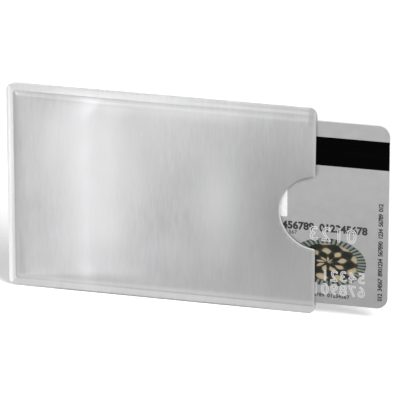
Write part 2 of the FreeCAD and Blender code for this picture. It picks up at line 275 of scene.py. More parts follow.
def graded(rows, end, coarseness):
    """Places from the first row's to the end, at each row's own step times the coarseness."""
    places = []
    for (start, step), (stop, _) in zip(rows, rows[1:] + [(end, None)]):
        count = max(1, round((stop - start) / (step * coarseness)))
        places += list(np.linspace(start, stop, count, endpoint=False))
    return np.array(places + [end])


def panel_points(coarseness):
    """Outline and inside points of a panel; coarseness scales every step."""
    outline = panel_outline(OUTLINE_STEP * coarseness)
    ahead = np.roll(outline, -1, 0) - np.roll(outline, 1, 0)
    inward = np.stack([-ahead[:, 1], ahead[:, 0]], 1) / np.linalg.norm(ahead, axis=1)[:, None]
    rings = [outline + inward * offset for offset in RING_OFFSETS]
    xs = CLOSED + graded(GRID_ALONG, LENGTH - GRID_MARGIN, coarseness)
    below = graded(GRID_ACROSS, MIDDLE, coarseness)
    zs = np.concatenate([below, TOP - below[-2::-1]])
    grid = np.stack(np.meshgrid(xs, zs, indexing="ij"), -1).reshape(-1, 2)
    x, z = grid.T
    corner_x = np.maximum(np.maximum(CLOSED + CORNER - x, x - MOUTH + CORNER), 0)
    corner_z = np.maximum(np.abs(z - MIDDLE) - MIDDLE + CORNER, 0)
    inside = (np.hypot(corner_x, corner_z) < CORNER) & (cut_distance(x, z) > GRID_CLEAR)
    grid = grid[inside]
    gaps = np.array([np.min(np.hypot(*(outline - point).T)) for point in grid])
    return outline, np.concatenate([*rings, grid[gaps > GRID_CLEAR]])


def inside_outline(points, outline):
    """Which points lie inside a closed outline, by counting the edges to their right."""
    crossings = np.zeros(len(points), int)
    x, z = points.T
    for (x0, z0), (x1, z1) in zip(outline, np.roll(outline, -1, 0)):
        spans = (z0 > z) != (z1 > z)
        if z0 != z1:
            crossings += spans & (x < x0 + (z - z0) / (z1 - z0) * (x1 - x0))
    return crossings % 2 == 1


def triangulate(outline, inside):
    """The points of a panel, its triangles, and the outline's points in order."""
    points = np.concatenate([outline, inside])
    count = len(outline)
    edges = [(i, (i + 1) % count) for i in range(count)]
    made = delaunay_2d_cdt([Vector(p) for p in points], edges, [], TRIANGLES_INSIDE, SAME_PLACE, True)
    places = np.array([tuple(v) for v in made[0]])
    triangles = np.array(made[2])
    triangles = triangles[inside_outline(places[triangles].mean(1), outline)]
    order = {sources[0]: new for new, sources in enumerate(made[3]) if sources}
    rim = [order[i] for i in range(count)]
    return places, triangles.tolist(), rim


def new_object(name, vertices, faces, smooth_angle=SMOOTH_ANGLE, merge=0.0):
    """A smooth-shaded mesh from millimetres; merge joins points closer than that and drops flat faces."""
    mesh = bpy.data.meshes.new(name)
    mesh.from_pydata([tuple(v) for v in np.array(vertices) * MM], [], faces)
    shaped = bmesh.new()
    shaped.from_mesh(mesh)
    if merge:
        bmesh.ops.remove_doubles(shaped, verts=shaped.verts, dist=merge * MM)
        bmesh.ops.dissolve_degenerate(shaped, edges=shaped.edges, dist=merge * MM)
    bmesh.ops.recalc_face_normals(shaped, faces=shaped.faces)
    shaped.to_mesh(mesh)
    shaped.free()
    mesh.polygons.foreach_set("use_smooth", [True] * len(mesh.polygons))
    mesh.set_sharp_from_angle(angle=math.radians(smooth_angle))
    made = bpy.data.objects.new(name, mesh)
    bpy.context.scene.collection.objects.link(made)
    return made


# Tones of the film: each is a share, at x and z, of a colour that the film's material lays on; most of them
# are painted highlights and painted shade. A line is a distance from an edge and a reach, and a fade is
# where a tone starts to show and where it is whole.

# The weld is lighter film, even along the sides; a painted highlight and a painted shade line run along the
# bead by the upper edge, and a painted highlight lies along the closed end, stronger low down and at its
# outer rim.
WELD_FADE = (WELD_END + 0.1, WELD_END - 0.1)
WELD_UPPER, WELD_LOWER = 0.181, 0.248
BEAD_LIGHT, BEAD_LIGHT_LINE = 0.161, (1.55, 0.35)
BEAD_DARK, BEAD_DARK_LINE = 0.054, (0.75, 0.40)
BEAD_FADE = (-10, 12)
LIP_FADE = (MOUTH - 1.9, MOUTH - 2.3)
END_TONE = (0.44, 0.22)
END_RIM_TONE = (0.46, 0.30)
END_RIM_FADE = (1.5, 0.75)
MITRE_FADE = (0.3, -0.3)


def weld_tone(x, z):
    from_end, from_top = x - CLOSED, TOP - z
    bead = BEAD_LIGHT * bell(from_top, *BEAD_LIGHT_LINE) - BEAD_DARK * bell(from_top, *BEAD_DARK_LINE)
    bead = bead * smooth_step(*BEAD_FADE, x) * smooth_step(*LIP_FADE, x)
    side = np.where(z > MIDDLE, WELD_UPPER, WELD_LOWER) + bead
    end = by_height(z, *END_TONE) + by_height(z, *END_RIM_TONE) * smooth_step(*END_RIM_FADE, from_end)
    on_end = smooth_step(*MITRE_FADE, from_end - side_distance(z))
    return smooth_step(*WELD_FADE, weld_distance(x, z)) * (side + (end - side) * on_end)


# Painted shade in the groove inside the weld: it fades along the upper side, deepens along the lower and is
# even at the end.
GROOVE_PLACE = 2.35
GROOVE_WIDTH = 0.22
GROOVE_END = 0.5
GROOVE_UPPER_LOSS, GROOVE_UPPER_FADE = 0.6, (-32, -20)
GROOVE_LOWER, GROOVE_LOWER_FADE = 0.75, (-46, -4)
SIDES_FADE = (2.2, 4.0)


def groove_tone(x, z):
    upper = 1 - GROOVE_UPPER_LOSS * smooth_step(*GROOVE_UPPER_FADE, x)
    lower = GROOVE_LOWER * smooth_step(*GROOVE_LOWER_FADE, x)
    side = np.where(z > MIDDLE, upper, lower)
    tone = GROOVE_END + (side - GROOVE_END) * smooth_step(*SIDES_FADE, x - CLOSED)
    return bell(weld_distance(x, z), GROOVE_PLACE, GROOVE_WIDTH) * tone


# Painted highlights: light lines where the film rolls down to the groove, along both sides and at the closed
# end.
UPPER_ROLL_LINE, UPPER_ROLL_FADE, UPPER_ROLL_LOSS = (3.3, 0.9), (-38, -28), 0.6
LOWER_ROLL_LINE, LOWER_ROLL, LOWER_ROLL_LOSS = (3.2, 0.8), 1.1, 0.3
ROLL_LOSS_FADE = (0, 25)
END_ROLL_LINE, END_ROLL_FADE = (2.7, 0.7), (2.2, 3.6)


def roll_tone(x, z):
    to_mouth = smooth_step(*ROLL_LOSS_FADE, x)
    upper = bell(TOP - z, *UPPER_ROLL_LINE) * smooth_step(*UPPER_ROLL_FADE, x) * smooth_step(*LIP_FADE, x)
    upper = upper * (1 - UPPER_ROLL_LOSS * to_mouth)
    lower = LOWER_ROLL * bell(z, *LOWER_ROLL_LINE) * (1 - LOWER_ROLL_LOSS * to_mouth)
    end = bell(x - CLOSED, *END_ROLL_LINE) * smooth_step(*END_ROLL_FADE, side_distance(z))
    return (upper + lower) * smooth_step(*SIDES_FADE, x - CLOSED) + end


# Painted highlights lie over the ridge and the crease at the card's end, on a slanting lobe at the card's
# upper corner, on the shoulder under the upper roll, and in soft patches, one of which takes some of it off:
# middle x and z, reach along x and z, strength.
LOBE = 2.3
LOBE_X, LOBE_Z = CARD_END, TOP - 4.8
LOBE_RUN, LOBE_RISE = 0.59, 0.81
LOBE_LENGTH = 4.2
LOBE_WIDTH = (1.3, 4.0)
CREASE, CREASE_LINE = 0.25, (1.7, 0.7, 1.8)
SHOULDER, SHOULDER_LINE = 1.15, (4.7, 1.3, 1.5)
SHOULDER_START, SHOULDER_STOP = (-32, -26), (26, 2)
PAINTED_SHEEN_FADE = (1.8, 3.0)
LIGHTER = [
    (7.0, 30.0, 7.0, 15.0, 2.0), (-7.0, 14.0, 8.0, 6.0, 0.8), (-17.0, 5.5, 10.0, 3.0, 1.0),
    (-23.0, 20.0, 6.0, 8.0, 0.8), (-23.0, 55.5, 4.0, 3.0, 0.9), (-29.0, 40.0, 4.0, 9.0, -0.6),
    (-31.9, 6.0, 2.2, 3.0, 0.8), (-42.0, 2.9, 13.0, 1.0, 0.8), (-43.0, 44.0, 4.0, 9.0, 0.6),
]


def painted_sheen_tone(x, z):
    from_card, from_top = end_distance(x, z), TOP - z
    ridge = bell(from_card, RIDGE_SHIFT, RIDGE_WIDTH)
    crease = leaning_bell(from_card, *CREASE_LINE)
    right, up = x - LOBE_X, z - LOBE_Z
    lobe = bell(LOBE_RUN * right + LOBE_RISE * up, 0, LOBE_LENGTH)
    lobe = lobe * leaning_bell(LOBE_RUN * up - LOBE_RISE * right, 0, *LOBE_WIDTH)
    shoulder = leaning_bell(from_top, *SHOULDER_LINE)
    shoulder = shoulder * smooth_step(*SHOULDER_START, x) * smooth_step(*SHOULDER_STOP, x)
    painted_sheen = ridge + LOBE * lobe + CREASE * crease + SHOULDER * shoulder + patches(LIGHTER, x, z)
    return painted_sheen * smooth_step(*PAINTED_SHEEN_FADE, from_top)


# Painted highlights on the cut edges: faint along the mouth, stronger round the lower half of the notch.
MOUTH_EDGE, MOUTH_EDGE_FADE = 0.3, (1.0, 0.1)
NOTCH_EDGE_FADE = (0.5, 0.15)
NOTCH_LOWER_FADE = (MIDDLE + 8, MIDDLE - 1)


def cut_tone(x, z):
    mouth = MOUTH_EDGE * smooth_step(*MOUTH_EDGE_FADE, MOUTH - x)
    return mouth + smooth_step(*NOTCH_EDGE_FADE, notch_distance(x, z)) * smooth_step(*NOTCH_LOWER_FADE, z)


# A darker band crosses the mouth's upper corner.
LIP_CORNER_START, LIP_CORNER_STOP = (MOUTH - 2.3, MOUTH - 2.0), (MOUTH, MOUTH - 1.2)
LIP_CORNER_FADE = (6.0, 3.2)


def lip_corner_tone(x, z):
    along = smooth_step(*LIP_CORNER_START, x) * smooth_step(*LIP_CORNER_STOP, x)
    return along * smooth_step(*LIP_CORNER_FADE, TOP - z)


# A painted contact shadow runs as a dark line along the lower edge, weaker at both ends.
SOLE_FADE = (0.5, 0.2)
SOLE_LEAST = 0.35
SOLE_START, SOLE_STOP = (-53, -36), (32, 8)


def sole_tone(x, z):
    along = smooth_step(*SOLE_START, x) * smooth_step(*SOLE_STOP, x)
    return smooth_step(*SOLE_FADE, z) * (SOLE_LEAST + (1 - SOLE_LEAST) * along)


# Painted shade lies towards the mouth's lower half and in soft patches, given like the painted highlights.
PAINTED_SHADE_ALONG, PAINTED_SHADE_DOWN = (2, 28), (58, 32)
DARKER = [(24.0, 29.0, 6.0, 9.0, 0.6), (-15.0, 44.0, 5.0, 10.0, 0.75), (-43.0, 8.0, 5.0, 4.0, 0.5)]


def painted_shade_tone(x, z):
    return smooth_step(*PAINTED_SHADE_ALONG, x) * smooth_step(*PAINTED_SHADE_DOWN, z) + patches(DARKER, x, z)


TONES = {
    "weld": weld_tone, "groove": groove_tone, "roll": roll_tone, "painted_sheen": painted_sheen_tone, "cut": cut_tone,
    "lip_corner": lip_corner_tone, "sole": sole_tone, "painted_shade": painted_shade_tone,
}

# The film's flat map: units per metre, and where the row's origin comes.
FLAT_MAP = "flat"
FLAT_SCALE, FLAT_SHIFT = 10, 0.5


def add_film_data(made):
    """A flat map along X and Z, which gives the brushed grain its direction, and the tones' shares."""
    mesh = made.data
    places = np.zeros(len(mesh.vertices) * 3)
    mesh.vertices.foreach_get("co", places)
    places = places.reshape(-1, 3)
    corner_vertex = np.zeros(len(mesh.loops), int)
    mesh.loops.foreach_get("vertex_index", corner_vertex)
    flat = places[corner_vertex][:, [0, 2]] * FLAT_SCALE + FLAT_SHIFT
    mesh.uv_layers.new(name=FLAT_MAP).data.foreach_set("uv", flat.ravel())
    x, _, z = places.T / MM
    for name, tone in TONES.items():
        mesh.attributes.new(name, "FLOAT", "POINT").data.foreach_set("value", tone(x, z))


# A sheet's side counts as cut at the mouth this close to the mouth edge.
CUT_SIDE_NEAR = 0.02


def panel_sheet(side, facing, sheet, cover):
    """One sheet of a panel, closed all round; facing is -1 for the front and 1 for the back."""
    low, high, slot = SHEETS[sheet]
    places, triangles, rim = cover
    x, z = places.T
    outer = outer_face(x, z, RIPPLE_PHASE + facing)
    inner = inner_face(x, z, outer)
    bottom = inner + (outer - inner) * low + SHEET_GAP * (low > 0)
    top = inner + (outer - inner) * high - SHEET_GAP * (high < 1)
    count = len(places)
    vertices = np.concatenate([np.stack([x, facing * top, z], 1), np.stack([x, facing * bottom, z], 1)])
    faces = [tuple(t) for t in triangles] + [tuple(count + i for i in reversed(t)) for t in triangles]
    faces += [(a, b, count + b, count + a) for a, b in zip(rim, rim[1:] + rim[:1])]
    made = new_object(f"{side}_{sheet}_sheet", vertices, faces)
    if sheet == "film":
        add_film_data(made)
    on_cut = np.zeros(len(faces))
    on_cut[2 * len(triangles):] = x[rim] > MOUTH - CUT_SIDE_NEAR
    made.data.attributes.new("cut_side", "FLOAT", "FACE").data.foreach_set("value", on_cut)
    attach(made, "sleeve")
    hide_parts(f"{side}_{sheet}")
    return made


# Digits on the card. A digit's height and middle are in units of the letter size.
DIGIT_HEIGHT = 0.69
DIGIT_MIDDLE = 0.25

# Rows of pressed digits: text, x of the first digit, base line z, pitch, height. They are pressed to be read
# from the far side, so they run to the left and stand mirrored on the near face.
PRESSED_ROWS = [
    ("0123  4567  8901", 44.9, 22.3, 3.63, 4.0),
    ("54321 09876 54321", 47.9, 10.5, 2.62, 3.1),
    ("678901 2345 67890", 47.9, 6.4, 2.62, 3.1),
]
PRESSED_RESOLUTION = 5
PRESSED_SMOOTH_ANGLE = 60
RIM_WIDTH = 0.31
RIM_HEIGHT = 0.06
RIM_STEP = 0.16
LEAST_RIM_POINTS = 8
RIM_SECTION = [(-0.5, -0.3), (-0.42, 0.35), (-0.2, 0.9), (0.2, 0.9), (0.42, 0.35), (0.5, -0.3)]

# Rows of printed digits: name, text, x and z of the first digit, pitch, height, weight, upright or not.
PRINTED_ROWS = [
    ("large", "0123456789 012345678", 19.6, 25.1, 1.53, 2.1, 0.046, False),
    ("small", "01234 567", 22.6, 23.6, 0.78, 1.0, 0.02, False),
    ("low", "0123 456789 01234567", 28.9, 5.55, 0.80, 1.0, 0.04, False),
    ("upright", "012 34567 8901234 567890 1234 56789 012", 53.8, 6.2, 0.74, 1.2, 0.035, True),
]
PRINT_RESOLUTION = 4
PRINT_THICK = 0.006
PRINT_MERGE = 0.0005


def new_letters(**settings):
    """A text curve and the object that carries it."""
    letters = bpy.data.curves.new("letters", "FONT")
    for name, setting in settings.items():
        setattr(letters, name, setting)
    carrier = bpy.data.objects.new("letters", letters)
    bpy.context.scene.collection.objects.link(carrier)
    return letters, carrier


def letter_mesh(letters, carrier, digit):
    letters.body = digit
    bpy.context.view_layer.update()
    return bpy.data.meshes.new_from_object(carrier.evaluated_get(bpy.context.evaluated_depsgraph_get()))


def remove_letters(letters, carrier):
    bpy.data.objects.remove(carrier)
    bpy.data.curves.remove(letters)


def edge_loops(mesh):
    """The closed loops of a mesh of bare edges, each as a list of flat points."""
    follows = {}
    for edge in mesh.edges:
        a, b = edge.vertices
        follows.setdefault(a, []).append(b)
        follows.setdefault(b, []).append(a)
    loops = []
    left = set(follows)
    while left:
        loop = []
        onward = [min(left)]
        while onward:
            loop.append(onward[0])
            left.discard(onward[0])
            onward = [v for v in follows[loop[-1]] if v in left]
        loops.append([tuple(mesh.vertices[v].co[:2]) for v in loop])
    return loops


def digit_outlines():
    """The closed outlines of the ten digits."""
    letters, carrier = new_letters(fill_mode="NONE", resolution_u=PRESSED_RESOLUTION)
    outlines = {}
    for digit in "0123456789":
        mesh = letter_mesh(letters, carrier, digit)
        outlines[digit] = edge_loops(mesh)
        bpy.data.meshes.remove(mesh)
    remove_letters(letters, carrier)
    return outlines


def pressed_outlines(outlines, text, start, base, pitch, height):
    """The outlines of a row of digits in millimetres, mirrored and running to the left."""
    size = height / DIGIT_HEIGHT
    for index, digit in enumerate(text):
        centre = start - pitch * index
        for loop in outlines.get(digit, []):
            yield np.array([(centre - (px - DIGIT_MIDDLE) * size, base + py * size) for px, py in loop])


def resampled(loop, step):
    """A closed loop with its points spread evenly."""
    closed = np.concatenate([loop, loop[:1]])
    lengths = np.concatenate([[0], np.cumsum(np.linalg.norm(np.diff(closed, axis=0), axis=1))])
    count = max(LEAST_RIM_POINTS, round(lengths[-1] / step))
    at = np.linspace(0, lengths[-1], count, endpoint=False)
    return np.stack([np.interp(at, lengths, closed[:, 0]), np.interp(at, lengths, closed[:, 1])], 1)


def pressed_digits(name, outlines, facing):
    """Pressed rims that follow the outlines of the digits, on one face of the card."""
    vertices = []
    faces = []
    width = len(RIM_SECTION)
    for row in PRESSED_ROWS:
        for loop in pressed_outlines(outlines, *row):
            line = resampled(loop, RIM_STEP)
            ahead = np.roll(line, -1, 0) - np.roll(line, 1, 0)
            ahead = ahead / np.linalg.norm(ahead, axis=1)[:, None]
            across = np.stack([-ahead[:, 1], ahead[:, 0]], 1)
            first = len(vertices)
            for place, out in zip(line, across):
                for share, up in RIM_SECTION:
                    x, z = place + out * share * RIM_WIDTH
                    vertices.append((x, facing * (CARD_FACE + up * RIM_HEIGHT), z))
            count = len(line)
            for i in range(count):
                here, there = first + i * width, first + (i + 1) % count * width
                for j in range(width):
                    k = (j + 1) % width
                    faces.append((here + j, here + k, there + k, there + j))
    made = new_object(name, vertices, faces, PRESSED_SMOOTH_ANGLE)
    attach(made, "card")
    return made


def printed_digits(name, text, start, base, pitch, height, weight, upright):
    """A row of flat bold digits on the card's near face; an upright row climbs the card."""
    letters, carrier = new_letters(fill_mode="BOTH", resolution_u=PRINT_RESOLUTION, bevel_depth=weight,
                                   bevel_resolution=0)
    vertices = []
    faces = []
    size = height / DIGIT_HEIGHT
    for index, digit in enumerate(text):
        if digit == " ":
            continue
        mesh = letter_mesh(letters, carrier, digit)
        first = len(vertices)
        for vertex in mesh.vertices:
            along = pitch * index + (vertex.co.x - DIGIT_MIDDLE) * size
            up = vertex.co.y * size
            x, z = (start - up, base + along) if upright else (start + along, base + up)
            vertices.append((x, -(CARD_FACE + PRINT_THICK * vertex.co.z / weight), z))
        faces += [tuple(first + v for v in face.vertices) for face in mesh.polygons]
        bpy.data.meshes.remove(mesh)
    remove_letters(letters, carrier)
    made = new_object(f"printed_digits_{name}", vertices, faces, merge=PRINT_MERGE)
    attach(made, "card")
    return made


# Materials. Noise scales are per metre along each axis.
NOISE_LOW, NOISE_HIGH = 0.25, 0.75


def new_material(name):
    """An empty material with one main shader; returns it with its node tree and the shader."""
    material = bpy.data.materials.new(name)
    material.use_nodes = True
    tree = material.node_tree
    tree.nodes.clear()
    shader = tree.nodes.new("ShaderNodeBsdfPrincipled")
    output = tree.nodes.new("ShaderNodeOutputMaterial")
    tree.links.new(shader.outputs["BSDF"], output.inputs["Surface"])
    return material, tree, shader


def add_node(tree, kind, inputs, **settings):
    """A node with its settings; an input is a value or another node's output."""
    node = tree.nodes.new(kind)
    for name, setting in settings.items():
        setattr(node, name, setting)
    for name, given in inputs.items():
        if isinstance(given, bpy.types.NodeSocket):
            tree.links.new(given, node.inputs[name])
        else:
            node.inputs[name].default_value = given
    return node


def grey(level, blue=0.0):
    return (level, level, level * (1 + blue), 1)


def object_place(tree):
    return tree.nodes.new("ShaderNodeTexCoord").outputs["Object"]


def attribute(tree, name):
    return add_node(tree, "ShaderNodeAttribute", {}, attribute_name=name).outputs["Fac"]


def place_noise(tree, scale, detail=3.0, roughness=0.55):
    """Noise in the piece's own place."""
    moved = add_node(tree, "ShaderNodeVectorMath", {0: object_place(tree), 1: scale}, operation="MULTIPLY")
    noise = add_node(tree, "ShaderNodeTexNoise",
                     {"Vector": moved.outputs[0], "Scale": 1.0, "Detail": detail, "Roughness": roughness})
    return noise.outputs["Fac"]


def ramp(tree, fac, stops):
    """A colour from stops of (factor, colour)."""
    node = tree.nodes.new("ShaderNodeValToRGB")
    while len(node.color_ramp.elements) < len(stops):
        node.color_ramp.elements.new(0.5)
    for element, (place, colour) in zip(node.color_ramp.elements, stops):
        element.position = place
        element.color = colour
    tree.links.new(fac, node.inputs["Fac"])
    return node.outputs["Color"]


def map_range(tree, given, from_low, from_high, low, high, **settings):
    """A value that goes from low to high as the given one goes over its own range."""
    inputs = {"Value": given, "From Min": from_low, "From Max": from_high, "To Min": low, "To Max": high}
    return add_node(tree, "ShaderNodeMapRange", inputs, **settings).outputs["Result"]


def spread(tree, noise, low, high):
    """A value between low and high over most of a noise's range."""
    return map_range(tree, noise, NOISE_LOW, NOISE_HIGH, low, high)


def maths(tree, operation, *given):
    return add_node(tree, "ShaderNodeMath", dict(enumerate(given)), operation=operation).outputs[0]


def mix_colour(tree, fac, a, b, blend="MIX"):
    """Two colours mixed; a mix node's colour sockets are its inputs 6 and 7 and its output 2."""
    node = add_node(tree, "ShaderNodeMix", {0: fac, 6: a, 7: b}, data_type="RGBA", blend_type=blend)
    return node.outputs[2]


def bump(tree, shader, height, strength, distance):
    node = add_node(tree, "ShaderNodeBump", {"Height": height, "Strength": strength, "Distance": distance})
    tree.links.new(node.outputs["Normal"], shader.inputs["Normal"])


def dark_cut(tree, colour):
    """Paints shade on the cut side of a sheet along the mouth, for the dark gap between lip and card."""
    return mix_colour(tree, attribute(tree, "cut_side"), colour, grey(0.04))


# Tones laid over the film's grain in turn, most of them painted highlights and painted shade: the share's
# name, its strength, the colour.
FILM_BLUE = 0.016
FILM_LAYERS = [
    ("painted_sheen", 0.24, grey(0.56, FILM_BLUE)), ("painted_shade", 0.5, grey(0.26)), ("roll", 0.3, grey(0.58)),
    ("weld", 1.0, grey(0.80)), ("groove", 0.4, grey(0.22)), ("cut", 1.0, grey(0.56)),
    ("lip_corner", 0.3, grey(0.20)), ("sole", 0.8, grey(0.16)),
]


def brushed_film():
    """Silver film with a fine upright grain, painted highlights and painted shade laid on as tones, smoother
    on the weld.
    """
    material, tree, shader = new_material("silver_film_look")
    streaks = place_noise(tree, (1500, 700, 210), detail=4.0, roughness=0.65)
    bands = place_noise(tree, (130, 90, 9), detail=2.0, roughness=0.5)
    clouds = place_noise(tree, (55, 55, 38), detail=2.0, roughness=0.5)
    shares = {name: attribute(tree, name) for name, _, _ in FILM_LAYERS}
    grain = ramp(tree, streaks, [(0.25, grey(0.345, FILM_BLUE)), (0.75, grey(0.410, FILM_BLUE))])
    colour = mix_colour(tree, spread(tree, bands, 0.0, 0.35), grain, grey(0.30))
    drift = ramp(tree, clouds, [(0.3, grey(0.92)), (0.7, grey(1.05))])
    colour = mix_colour(tree, 1.0, colour, drift, "MULTIPLY")
    for name, strength, tone in FILM_LAYERS:
        colour = mix_colour(tree, maths(tree, "MULTIPLY", shares[name], strength), colour, tone)
    tree.links.new(dark_cut(tree, colour), shader.inputs["Base Color"])
    rough = maths(tree, "MULTIPLY_ADD", shares["weld"], -0.06, spread(tree, streaks, 0.30, 0.38))
    tree.links.new(rough, shader.inputs["Roughness"])
    shader.inputs["Metallic"].default_value = 1.0
    shader.inputs["Anisotropic"].default_value = 0.35
    tangent = add_node(tree, "ShaderNodeTangent", {}, direction_type="UV_MAP", uv_map=FLAT_MAP)
    tree.links.new(tangent.outputs["Tangent"], shader.inputs["Tangent"])
    bump(tree, shader, streaks, strength=0.12, distance=0.00002)
    return material


def foil():
    """Bright foil, a little uneven."""
    material, tree, shader = new_material("shield_foil_look")
    cloud = place_noise(tree, (400, 400, 400))
    colour = ramp(tree, cloud, [(0.3, grey(0.72)), (0.7, grey(0.86))])
    tree.links.new(dark_cut(tree, colour), shader.inputs["Base Color"])
    tree.links.new(spread(tree, cloud, 0.22, 0.38), shader.inputs["Roughness"])
    shader.inputs["Metallic"].default_value = 1.0
    return material


def plastic(name, low, high, scale, roughness, bump_height=0.0, coat=0.0, cut=False, fade=None):
    """A satin plastic whose colour drifts between two tones.

    A fade gives two heights in millimetres and the share of the colour at each.
    """
    material, tree, shader = new_material(name)
    cloud = place_noise(tree, (scale, scale, scale), detail=4.0, roughness=0.6)
    grain = place_noise(tree, (2400, 2400, 2400), detail=2.0)
    tone = ramp(tree, cloud, [(0.3, low), (0.7, high)])
    speck = ramp(tree, grain, [(0.25, grey(0.94)), (0.75, grey(1.0))])
    colour = mix_colour(tree, 1.0, tone, speck, "MULTIPLY")
    if fade:
        bottom, top, share_bottom, share_top = fade
        height = add_node(tree, "ShaderNodeSeparateXYZ", {0: object_place(tree)}).outputs["Z"]
        share = map_range(tree, height, bottom * MM, top * MM, share_bottom, share_top)
        colour = mix_colour(tree, 1.0, colour, share, "MULTIPLY")
    if cut:
        colour = dark_cut(tree, colour)
    tree.links.new(colour, shader.inputs["Base Color"])
    tree.links.new(spread(tree, cloud, roughness - 0.05, roughness + 0.05), shader.inputs["Roughness"])
    shader.inputs["Coat Weight"].default_value = coat
    if bump_height:
        bump(tree, shader, grain, strength=0.3, distance=bump_height)
    return material


def writing_panel():
    """Matt white strip with faint slanting lines."""
    material, tree, shader = new_material("panel_white_look")
    lines = add_node(tree, "ShaderNodeTexWave",
                     {"Vector": object_place(tree), "Scale": 260.0, "Distortion": 0.0},
                     wave_type="BANDS", bands_direction="DIAGONAL")
    paper = place_noise(tree, (1800, 1800, 1800))
    tone = ramp(tree, lines.outputs["Fac"], [(0.0, grey(0.86)), (0.7, grey(0.86)), (0.95, grey(0.82))])
    fibre = ramp(tree, paper, [(0.3, grey(0.94)), (0.7, grey(1.0))])
    tree.links.new(mix_colour(tree, 1.0, tone, fibre, "MULTIPLY"), shader.inputs["Base Color"])
    tree.links.new(spread(tree, paper, 0.62, 0.78), shader.inputs["Roughness"])
    bump(tree, shader, paper, strength=0.25, distance=0.00002)
    return material


# The oval's colours, from the ground between its petals to their hearts, and the rays of its rim.
ROSETTE_COLOURS = [
    (0.0, (0.004, 0.006, 0.004, 1)), (0.46, (0.012, 0.018, 0.011, 1)), (0.60, (0.05, 0.045, 0.03, 1)),
    (0.68, (0.33, 0.25, 0.17, 1)), (0.82, (0.42, 0.27, 0.23, 1)), (0.94, (0.33, 0.36, 0.16, 1)),
]
RAY_COLOURS = [(0.3, (0.03, 0.038, 0.03, 1)), (0.6, (0.19, 0.215, 0.195, 1))]
RAYS = 46
OVAL_RIM_START, OVAL_RIM_WHOLE = 0.76, 0.80


def oval_foil():
    """Printed foil: an interlaced rosette inside a rim of fine rays."""
    material, tree, shader = new_material("patch_foil_look")
    low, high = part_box("picture_patch")
    half = (high - low) / 2
    from_middle = add_node(tree, "ShaderNodeVectorMath", {0: object_place(tree), 1: (low + high) / 2},
                           operation="SUBTRACT").outputs[0]
    unit = add_node(tree, "ShaderNodeVectorMath", {0: from_middle, 1: (1 / half.x, 0, 1 / half.z)},
                    operation="MULTIPLY").outputs[0]
    split = add_node(tree, "ShaderNodeSeparateXYZ", {0: unit})
    radius = add_node(tree, "ShaderNodeVectorMath", {0: unit}, operation="LENGTH").outputs["Value"]
    angle = maths(tree, "ARCTAN2", split.outputs["Z"], split.outputs["X"])

    def twist(petals, turns, shift):
        """A wave round the oval that winds as it goes out."""
        round_it = maths(tree, "MULTIPLY", angle, petals)
        outward = maths(tree, "MULTIPLY", radius, turns)
        swept = maths(tree, "ADD", round_it, outward)
        return maths(tree, "SINE", maths(tree, "ADD", swept, shift))

    def from_zero(wave):
        """A wave from -1 to 1 brought to 0 to 1."""
        return maths(tree, "MULTIPLY_ADD", wave, 0.5, 0.5)

    drift = maths(tree, "MULTIPLY", place_noise(tree, (210, 210, 210), detail=2.0), 1.6)
    petals = from_zero(maths(tree, "MULTIPLY", twist(4, 8, drift), twist(5, -9, drift)))
    rosette = ramp(tree, petals, ROSETTE_COLOURS)
    rim = ramp(tree, from_zero(twist(RAYS, 0, 0)), RAY_COLOURS)
    in_rim = ramp(tree, radius, [(OVAL_RIM_START, grey(0.0)), (OVAL_RIM_WHOLE, grey(1.0))])
    tree.links.new(mix_colour(tree, in_rim, rosette, rim), shader.inputs["Base Color"])
    tree.links.new(spread(tree, petals, 0.22, 0.40), shader.inputs["Roughness"])
    shader.inputs["Metallic"].default_value = 0.25
    shader.inputs["Specular IOR Level"].default_value = 0.25
    bump(tree, shader, petals, strength=0.1, distance=0.00003)
    return material


def copper_track():
    """Etched copper, worn along the track."""
    material, tree, shader = new_material("copper_look")
    rub = place_noise(tree, (500, 900, 2600))
    colour = ramp(tree, rub, [(0.3, (0.62, 0.30, 0.16, 1)), (0.7, (0.78, 0.42, 0.24, 1))])
    tree.links.new(colour, shader.inputs["Base Color"])
    tree.links.new(spread(tree, rub, 0.28, 0.42), shader.inputs["Roughness"])
    shader.inputs["Metallic"].default_value = 1.0
    return material


# Depths in millimetres below the contact plate's face between which its colour turns to that of a slit.
SLIT_DEEP, SLIT_SHALLOW = 0.03, 0.01


def contact_plate():
    """A worn gold plate with dark slits, told by their depth below its face."""
    material, tree, shader = new_material("contact_gold_look")
    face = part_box("chip_contacts")[1].y
    depth = add_node(tree, "ShaderNodeSeparateXYZ", {0: object_place(tree)}).outputs["Y"]
    slit = map_range(tree, depth, face - SLIT_DEEP * MM, face - SLIT_SHALLOW * MM, 1.0, 0.0)
    rub = place_noise(tree, (700, 700, 1600))
    gold = ramp(tree, rub, [(0.3, (0.74, 0.54, 0.23, 1)), (0.7, (0.84, 0.64, 0.31, 1))])
    tree.links.new(mix_colour(tree, slit, gold, (0.05, 0.035, 0.02, 1)), shader.inputs["Base Color"])
    tree.links.new(spread(tree, rub, 0.24, 0.36), shader.inputs["Roughness"])
    shader.inputs["Metallic"].default_value = 1.0
    return material


def stripe_tape():
    """Black tape with faint worn lines along the card."""
    material, tree, shader = new_material("stripe_black_look")
    rub = place_noise(tree, (40, 900, 2200), detail=4.0)
    tree.links.new(ramp(tree, rub, [(0.3, grey(0.0005)), (0.75, grey(0.0015))]), shader.inputs["Base Color"])
    tree.links.new(spread(tree, rub, 0.34, 0.48), shader.inputs["Roughness"])
    shader.inputs["Specular IOR Level"].default_value = 0.012
    return material
